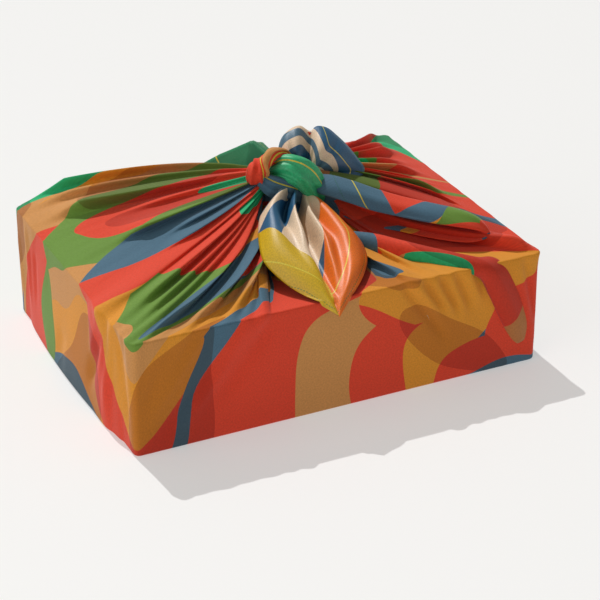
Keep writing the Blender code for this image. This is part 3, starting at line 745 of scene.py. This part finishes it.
# The free ends. Each is a grid through rows of points, in mm.
# The end that hangs over the front rim: its two hems, and how far the cloth stands off between them
frontHems = rowsOf("leftX leftY leftZ rightX rightY rightZ", (
    (3, -4, 113, 22, -3, 101), (-1, -14, 112, 26, -13, 99), (-12, -22, 108.5, 29, -24, 97),
    (-22, -30, 104, 31, -36, 94), (-29, -42, 100, 33, -47, 91), (-34.5, -56, 96, 35, -60, 87),
    (-36.5, -69, 91, 31, -75, 83), (-31, -85, 84.5, 22, -89, 82), (-24, -97, 80, 11, -101, 79.5),
    (-17, -107, 76.5, 0, -110, 76), (-10, -116, 72.5, -9, -117, 72),
))
frontRelief = (
    (2, 2, 2, 2, 2, 2, 2, 2, 2), (4, 4, 0, 4, -4, 2, 3, 4, 3), (8, 7, -3, 9, -9, 4, 2, 6, 5),
    (10, 9, -2, 12, -12, 7, 0, 8, 7), (10, 11, 4, 13, -13, 9, 2, 9, 8),
    (9, 11, 9, 13, -12, 9, 5, 10, 8), (7, 10, 10, 11, -9, 8, 5, 9, 7), (5, 8, 9, 8, -4, 5, 5, 8, 6),
    (3, 5, 6, 4, -1, 2, 4, 6, 4), (1, 2, 3, 2, 0, 1, 2, 2, 1), (0, 0, 0, 0, 0, 0, 0, 0, 0),
)
frontEnd = {
    "grid": (60, 64), "standsOff": Vector((0.0, -0.35, 0.94)),
    "length": 128, "tuck": 37 * mm, "tuckStarts": 0.30, "tuckEnds": 0.80,
    "rimAt": -107.5, "rimClear": 79.0, "clearSlope": 0.15,
}


def frontPoint(u, v):
    row = rowAt(frontHems, v)
    left = Vector((row["leftX"], row["leftY"], row["leftZ"]))
    right = Vector((row["rightX"], row["rightY"], row["rightZ"]))
    across = [0.0] + [curved(column, v) for column in zip(*frontRelief)] + [0.0]
    point = left.lerp(right, u) + frontEnd["standsOff"] * curved(across, u)
    if point.y > frontEnd["rimAt"]:
        lowest = frontEnd["rimClear"] + (point.y - frontEnd["rimAt"]) * frontEnd["clearSlope"]
        point.z = max(point.z, lowest)
    return point * mm


def frontFlat(u, v):
    # near the knot the left hem is tucked under, so the cloth starts further in
    a, b = cornerFlat(u, v, frontEnd["length"], (0, 0))
    tucked = 1 - eased((v - frontEnd["tuckStarts"]) / (frontEnd["tuckEnds"] - frontEnd["tuckStarts"]))
    return a + frontEnd["tuck"] * tucked * (1 - u), b


def cornerFlat(u, v, length, corner):
    # flat place on a corner of the cloth: v from the knot to the tip, u from hem to hem
    fromTip = length * (1 - v) * mm
    side = prints["clothSide"]
    a, b = fromTip * 2 * u / math.sqrt(2), fromTip * 2 * (1 - u) / math.sqrt(2)
    return (abs(side * corner[0] - a), abs(side * corner[1] - b))


frontMesh = gridMesh(*frontEnd["grid"], frontPoint, frontFlat)
bmesh.ops.reverse_faces(frontMesh, faces=frontMesh.faces)
frontPiece = finished("frontEnd", frontMesh)


# The end that stands up behind the knot, puffed into two lobes: its rim, and how deep it is in front
lilyRows = rowsOf("x y z puff hem", (
    (14, 9, 117, 2, 40), (11, 13, 125, 6, 40), (14, 15, 133, 9, 40), (21, 16, 138, 10, 38),
    (28, 16, 139, 8, 36), (34.5, 15, 134.5, 1, 30), (40, 16, 136.5, 7, 20), (47, 15, 134.5, 11, 8),
    (53, 13, 129, 12, 0), (60, 10, 121, 11, 0), (66, 7, 112, 8, 0), (69, 3, 105.5, 3, 0),
    (63, 0, 101, 4, 0), (52, -1, 101, 6, 4), (40, -2, 104, 4, 16),
))
lilyEnd = {
    "throat": Vector((27, 3, 109)), "width": 16.0, "front": Vector((-0.35, -0.85, 0.4)), "behind": 0.6,
    "grid": (76, 40), "fullness": 0.8, "thinnest": 0.4,
    "crease": 3.6, "creaseWide": 0.022, "creaseFade": 0.6,
    "valleys": ((0.16, 0.04), (0.30, 0.0), (0.47, -0.05), (0.62, -0.03), (0.80, 0.02)),  # place and lean
    "length": 46 * mm, "leastHem": 2 * mm, "flatStart": 0.25, "flatWide": 0.16,
}


def lilyPoint(u, v):
    # v runs from the throat over the front to the rim, and back down behind
    row = rowAt(lilyRows, u)
    throat = lilyEnd["throat"] + Vector(((u - 0.5) * lilyEnd["width"], 0, 0))
    share = 1 - abs(2 * v - 1)
    outward = math.sin(math.pi * clamp(share)) ** lilyEnd["fullness"]
    valleys = sum(math.exp(-((u - at - lean * share) / lilyEnd["creaseWide"]) ** 2)
                  for at, lean in lilyEnd["valleys"])
    deep = lilyEnd["crease"] * valleys * (1 - lilyEnd["creaseFade"] * share)
    puff = max(lilyEnd["thinnest"], row["puff"] - deep) * outward
    side = 1 if v < 0.5 else -lilyEnd["behind"]
    return (throat.lerp(pointOf(row), share) + lilyEnd["front"] * puff * side) * mm


def lilyFlat(u, v):
    hem = curved([row["hem"] for row in lilyRows], u) * mm
    fromRim = abs(2 * v - 1)
    return (lilyEnd["leastHem"] + max(0.0, hem) + lilyEnd["length"] * fromRim,
            lilyEnd["flatStart"] + u * lilyEnd["flatWide"])


lilyPiece = finished("lilyEnd", gridMesh(*lilyEnd["grid"], lilyPoint, lilyFlat))

# The corner that lies back on the left, along a ridge in straight lines
cornerRows = rowsOf("x y z half drop", (
    (10, 14, 116, 8, 3), (-0.5, 32, 127.3, 15, 11), (-7, 42.5, 119.5, 17, 13), (-13.3, 53.2, 112, 13, 12),
    (-23, 72.5, 96.6, 2, 1),
))
cornerEnd = {
    "drops": ((2.3, 0.9), (0.6, 1.4)),  # fall and power on each side of the ridge
    "narrow": 0.62,  # width of the first side against the other
    "crease": 3.0, "creases": (3.2, 1.5, 2.2),
    "grid": (36, 40), "length": 90, "tip": 0.97,
}


def cornerPoint(u, v):
    row = rowAt(cornerRows, v, straight)
    ahead = wayAt(cornerRows, v, 0.1, "xy", straight)
    across = Vector((ahead.y, -ahead.x, 0)).normalized()
    share = 2 * u - 1
    steep, power = cornerEnd["drops"][0 if share < 0 else 1]
    fall = row["drop"] * (steep * abs(share) ** power)
    wide, turn, along = cornerEnd["creases"]
    creased = abs(noise.noise(Vector((u * wide + v * turn, v * along, 5.0))))
    fall += cornerEnd["crease"] * creased * math.sin(math.pi * u)
    return (Vector((row["x"], row["y"], row["z"] - fall))
            + across * row["half"] * max(share, cornerEnd["narrow"] * share)) * mm


def cornerFlatAt(u, v):
    return cornerFlat(u, v * cornerEnd["tip"], cornerEnd["length"], (1, 0))


cornerPiece = finished("backCorner", gridMesh(*cornerEnd["grid"], cornerPoint, cornerFlatAt))

# The big loose roll on the right: a soft tube with a lip under its closed end
rollRows = rowsOf("x y z radius lip hollow", (
    (24, 0, 104, 8, 0, 0), (34, -13, 103, 11, 0, 0.3), (46, -23, 99.5, 11.6, 0, 0.8),
    (59, -32, 95, 11.3, 0.3, 1), (72, -42, 92.5, 10.3, 0.6, 1), (85, -54, 91, 10.2, 1.2, 1),
    (96, -63, 90, 9.8, 2.2, 1), (104, -70, 89.3, 8.8, 3.2, 0.9), (110, -75.5, 88.3, 6.8, 3.6, 0.6),
    (114, -79.5, 86.8, 3.6, 3, 0.2), (116, -81.5, 85.6, 0.4, 1, 0),
))
rollEnd = {
    "angles": (235, 190, 145, 108, 78, 50, 24),  # degrees round the tube
    "grid": (44, 48), "drag": 0.45, "drags": (9.0, 7),  # mm, and how it waves round the tube and along it
    "hemAt": 12.0, "hemTurn": 16.0, "turnFrom": 0.2, "turnQuick": 2.5, "leastHem": 0.5,
    "length": 135, "stretch": 1.1, "flatStart": 0.249, "flatWide": 0.07, "flatLong": 0.20,
}
# the cloth turns in below the front and comes out again as the lip, all in radii
lipRows = rowsOf("out inward lip above", (
    (0.88, 0, 0, 0.15), (0.9, 1.6, 0, -0.1), (0.75, 1.2, 0, -0.78), (0.62, 0, 0.7, -0.84),
    (0.66, 0, 1, -0.92), (-0.3, 0, 0, -1.05),
))


def rollPoint(u, v):
    row = rowAt(rollRows, v)
    centre, radius = pointOf(row), row["radius"]
    ahead = wayAt(rollRows, v, 0.04, "xy")
    front = Vector((ahead.y, -ahead.x, 0)).normalized()
    around, along = rollEnd["drags"]
    section = []
    for degrees in rollEnd["angles"]:
        turn = math.radians(degrees)
        wide = radius + rollEnd["drag"] * math.sin(degrees / around + v * along)
        section.append(centre + (front * math.cos(turn) + upright * math.sin(turn)) * wide)
    for lip in lipRows:
        out = (lip["out"] - lip["inward"] * row["hollow"]) * radius + lip["lip"] * row["lip"]
        section.append(centre + front * out + Vector((0, 0, lip["above"] * radius)))
    return curved(section, u) * mm


def rollFlat(u, v):
    turned = rollEnd["hemTurn"] * clamp((u - rollEnd["turnFrom"]) * rollEnd["turnQuick"])
    fromHem = v * rollEnd["length"] * rollEnd["stretch"] - turned - rollEnd["hemAt"]
    return (max(rollEnd["leastHem"], fromHem) * mm,
            rollEnd["flatStart"] + u * rollEnd["flatWide"] + v * rollEnd["flatLong"])


rollMesh = gridMesh(*rollEnd["grid"], rollPoint, rollFlat)
bmesh.ops.remove_doubles(rollMesh, verts=rollMesh.verts, dist=weldGap)
rollPiece = finished("rightRoll", rollMesh)

# The narrow fold below the roll, over the front rim and down the wall
stripRows = rowsOf("x y z upY upZ half drop", (
    (17, -37, 88, 0, 1, 4, 5), (31, -45, 89.5, 0, 1, 8, 8), (46, -57, 89.5, 0, 1, 9, 9),
    (57, -68, 88, 0, 1, 8.5, 10), (72, -83, 86, -0.1, 1, 7.5, 9), (84, -94, 84.5, -0.1, 1, 8, 8),
    (94, -102, 82.5, -0.3, 0.9, 8.5, 7), (100, -108, 79, -0.7, 0.6, 9, 6), (105, -111, 71, -1, 0.1, 9, 6),
    (112, -111, 58, -1, 0, 10, 6), (119, -110.3, 43, -1, 0, 10, 5), (125, -109, 29, -1, 0, 9, 4),
    (130, -105.5, 16, -1, 0, 8, 3),
))
stripEnd = {
    "grid": (14, 60),
    "powers": (1.2, 3.2),  # of the fall to each side: the right one ends in the steeper step
    "flatStart": (0.30, 0.48), "flatLong": 0.13, "flatWide": 0.02,
}


def stripPoint(u, v):
    row = rowAt(stripRows, v)
    ahead = wayAt(stripRows, v, 0.05, "xyz").normalized()
    up = Vector((0, row["upY"], row["upZ"])).normalized()
    across = ahead.cross(up).normalized()
    share = 2 * u - 1
    fall = row["drop"] * abs(share) ** stripEnd["powers"][1 if share > 0 else 0]
    return (pointOf(row) + across * row["half"] * share - up * fall) * mm


def stripFlat(u, v):
    start = stripEnd["flatStart"]
    return start[0] + stripEnd["flatLong"] * v, start[1] + stripEnd["flatWide"] * u


stripPiece = finished("frontStrip", gridMesh(*stripEnd["grid"], stripPoint, stripFlat))
print("stage: free ends")

# Each piece has its own face outside, and Solidify gives the other side the next slot. The sheet's inner
# side never shows, so it is dull too.
facings = (dullCloth, dullCloth, satinCloth, dullCloth, lilyCloth, dullCloth, cornerCloth, satinCloth)
clothPieces = [sheet, frontPiece, lilyPiece, cornerPiece, rollPiece, stripPiece, *flaps]
for piece, slot in zip(clothPieces, (0, 2, 4, 6, 0, 0, 0, 0)):
    for made in facings:
        piece.data.materials.append(made)
    for polygon in piece.data.polygons:
        polygon.material_index = slot
cloth = joinInto("wrappingCloth", clothPieces)
thickness = cloth.modifiers.new("Thickness", "SOLIDIFY")
thickness.thickness = drape["thick"]
thickness.offset = -1.0
thickness.material_offset = 1


# The knot: soft bands of gathered cloth over a core

bandColumns = "x y z acrossX acrossY acrossZ half thick"
crossBand = (
    (-3, 0, 119, 0.2, 0.3, 0.9, 4, 2.5), (4, -8, 124, 0.3, 0.4, 0.85, 8, 3),
    (10, -13, 123, 0.39, 0.39, 0.83, 9.5, 3.5), (17, -15, 118, 0.42, 0.3, 0.85, 10, 3.5),
    (23, -15, 110, 0.6, 0.15, 0.75, 9, 3.5), (27, -13.5, 102, 0.9, 0.2, 0.35, 6.5, 3),
    (27, -11, 96, 0.9, 0.2, 0.2, 3.5, 2.5),
)
smallLoop = (
    (15, 3, 123, 0.2, 0.1, 0.95, 2.5, 2), (8, 0, 129, 0.2, -0.1, 0.95, 4, 3),
    (-1, -3, 130.5, 0.3, -0.1, 0.9, 5.5, 3.5), (-9, -6, 128, 0.6, -0.2, 0.7, 7, 4),
    (-13, -7, 122, 0.85, -0.35, 0.3, 7.5, 4), (-12, -6, 115, 0.9, -0.4, 0.1, 7, 3.5),
)
underBand = (
    (-12, -6, 119, 0.7, 0.1, 0.7, 4, 3), (-5, -12, 114, 0.5, 0.1, 0.9, 7, 3.5),
    (5, -14, 109, 0.3, 0.2, 1, 7, 3.5), (17, -12, 102, 0.2, 0.2, 1, 6, 3),
)
tied = {
    "grid": (56, 40),
    "closing": 14,  # how soon the ends close
    "swell": 1.1,  # mm, as are the next depths
    "lumps": 0.9, "lumpSize": 6.0,
    "dents": 1.2, "dentSize": 8.0, "dentSeed": Vector((9, 4, 2)),
    "folds": 4.2, "foldTimes": (10, 1.7, 1.5),  # long folds round the band, along it and their slant
    "ridge": 1.3, "ridgeAt": 0.44, "ridgeWide": 0.03,
    "edgeFade": 0.7,
    "flatWide": 0.045, "flatStart": 0.1, "flatLong": 0.06,
}
knotBands = (
    ("crossBand", crossBand, "emerald", 90 * mm, True, {"count": 3, "depth": 0.30, "twist": 2.2}),
    ("smallLoop", smallLoop, "coral", 17 * mm, False, {"count": 3, "depth": 0.26, "twist": 2.0}),
    ("underBand", underBand, "slate", 90 * mm, False, {"count": 4, "depth": 0.26, "twist": 1.0}),
)
knotCore = {"centre": Vector((10, 1, 103)), "radii": Vector((26, 11, 17))}


def bandMesh(name, table, creases):
    rows = rowsOf(bandColumns, table)
    around, along, slant = tied["foldTimes"]

    def pointAt(u, v):
        row = rowAt(rows, v)
        centre = pointOf(row)
        ahead = wayAt(rows, v, 0.03, "xyz").normalized()
        across = Vector((row["acrossX"], row["acrossY"], row["acrossZ"]))
        across = (across - ahead * across.dot(ahead)).normalized()
        outward = across.cross(ahead)
        turn = math.tau * u
        wave = 2 * abs(math.sin(creases["count"] * turn + v * creases["twist"])) - 1
        thick = row["thick"] * (1 + creases["depth"] * wave)
        end = min(1.0, math.sqrt(clamp(min(v, 1 - v) * tied["closing"])))
        point = centre + (across * row["half"] * math.cos(turn) + outward * thick * math.sin(turn)) * end
        crumple = tied["swell"] + tied["lumps"] * noise.noise(point / tied["lumpSize"])
        dent = noise.noise(point / tied["dentSize"] + tied["dentSeed"])
        fold = noise.noise(Vector((u * around, v * along + u * slant, creases["twist"])))
        crumple -= tied["dents"] * abs(dent) + tied["folds"] * abs(fold)
        fromRidge = (u - tied["ridgeAt"]) / tied["ridgeWide"]
        crumple += tied["ridge"] * math.exp(-fromRidge ** 2)
        side = math.copysign(abs(math.sin(turn)) ** tied["edgeFade"], math.sin(turn))
        return (point + outward * crumple * side * end) * mm

    def flatAt(u, v):
        return abs(u - 0.5) * tied["flatWide"], tied["flatStart"] + v * tied["flatLong"]

    mesh = gridMesh(*tied["grid"], pointAt, flatAt)
    bmesh.ops.remove_doubles(mesh, verts=mesh.verts, dist=weldGap)
    bmesh.ops.recalc_face_normals(mesh, faces=mesh.faces)
    return finished(name, mesh)


knotPieces = []
for name, table, ground, borderWide, satin, creases in knotBands:
    piece = bandMesh(name, table, creases)
    bandFace = dict(dullFace, borders=(ground,), borderWide=borderWide)
    if satin:
        bandFace.update({key: satinFace[key] for key in ("roughness", "specular", "grain")})
    piece.data.materials.append(clothMaterial("viscose twill, " + ground + " band", bandFace))
    knotPieces.append(piece)

core = bmesh.new()
core.loops.layers.uv.new("flat")
bmesh.ops.create_uvsphere(core, u_segments=32, v_segments=20, radius=1.0, calc_uvs=True)
bmesh.ops.scale(core, verts=core.verts, vec=knotCore["radii"] * mm)
bmesh.ops.translate(core, verts=core.verts, vec=knotCore["centre"] * mm)
corePiece = finished("knotCore", core)
corePiece.data.materials.append(bpy.data.materials["viscose twill, slate band"])
knot = joinInto("knot", knotPieces + [corePiece])
print("stage: knot")

for piece in (cloth, knot):
    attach(piece, "root")
    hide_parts("wrap_cloth")


# The box hardly shows. It is plain greyboard with short fibres in it.
board = {
    "fibres": 900.0, "dark": "#A88A62", "light": "#C4AA82", "roughness": 0.85,
    "bump": 0.2, "bumpHigh": 0.1 * mm,
}


def boardMaterial():
    made, add, shader = newMaterial("greyboard, uncoated")
    place = add("TexCoord").outputs["Object"]
    fibres = add("TexNoise", {"Vector": place, "Scale": board["fibres"], "Detail": 3.0})
    ramp = add("ValToRGB", {"Fac": fibres})
    for stop, shade in zip(ramp.color_ramp.elements, ("dark", "light")):
        stop.color = linear(board[shade])
    bump = add("Bump", {"Height": fibres, "Strength": board["bump"], "Distance": board["bumpHigh"]})
    fill(made.node_tree, shader, {"Base Color": ramp, "Normal": bump, "Roughness": board["roughness"]})
    return made


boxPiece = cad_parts["box"]
boxPiece.data.materials.clear()
boxPiece.data.materials.append(boardMaterial())

# Floor, light and camera
studio = {
    "floorSize": 12.0, "floorColour": "#BDBDBB", "floorRoughness": 0.9, "floorGlow": 0.40,
    "floorDrop": 0.2 * mm,
    "worldColour": "#FFFAF4", "worldStrength": 0.30,
    "sunWay": Vector((-0.06, 0.57, 0.82)), "sunStrength": 2.25, "sunAngle": 0.6,
    "panelSize": 2.0, "panelEnergy": 12.5, "panelPlace": Vector((-2.0, -0.45, 1.0)),
    "azimuth": -25.6448, "elevation": 27.9315, "distance": 0.8984,
    "target": Vector((-0.1574, -0.37, 0.2381)), "lens": 122.5, "sensor": 36.0,
}
floorMesh = bmesh.new()
bmesh.ops.create_grid(floorMesh, x_segments=1, y_segments=1, size=studio["floorSize"] / 2)
bmesh.ops.translate(floorMesh, verts=floorMesh.verts, vec=(0, 0, -studio["floorDrop"]))
floor = finished("floor", floorMesh)
paper, _, paperShader = newMaterial("seamless paper, matt")
fill(paper.node_tree, paperShader, {
    "Base Color": linear(studio["floorColour"]), "Roughness": studio["floorRoughness"],
    "Emission Color": linear("#FFFFFF"), "Emission Strength": studio["floorGlow"],
})
floor.data.materials.append(paper)

scene = bpy.context.scene
world = bpy.data.worlds.new("studio")
world.use_nodes = True
fill(world.node_tree, world.node_tree.nodes["Background"],
     {"Color": linear(studio["worldColour"]), "Strength": studio["worldStrength"]})
scene.world = world


def placed(name, data, back, place=(0, 0, 0), **settings):
    # a light or the camera, which faces the other way from back
    for key, value in settings.items():
        setattr(data, key, value)
    thing = bpy.data.objects.new(name, data)
    thing.location = place
    thing.rotation_mode = "QUATERNION"
    thing.rotation_quaternion = back.to_track_quat("Z", "Y")
    scene.collection.objects.link(thing)
    return thing


placed("sun", bpy.data.lights.new("sun", "SUN"), studio["sunWay"], energy=studio["sunStrength"],
       angle=math.radians(studio["sunAngle"]))
# a large soft panel on the left, so that creases show in the shade too
placed("panel", bpy.data.lights.new("panel", "AREA"), studio["panelPlace"], studio["panelPlace"],
       shape="SQUARE", size=studio["panelSize"], energy=studio["panelEnergy"])
azimuth, elevation = math.radians(studio["azimuth"]), math.radians(studio["elevation"])
back = Vector((math.sin(azimuth) * math.cos(elevation), -math.cos(azimuth) * math.cos(elevation),
               math.sin(elevation)))
scene.camera = placed("camera", bpy.data.cameras.new("camera"), back,
                      studio["target"] + back * studio["distance"], lens=studio["lens"],
                      sensor_width=studio["sensor"])
scene.view_settings.view_transform = "Standard"
print("stage: studio")
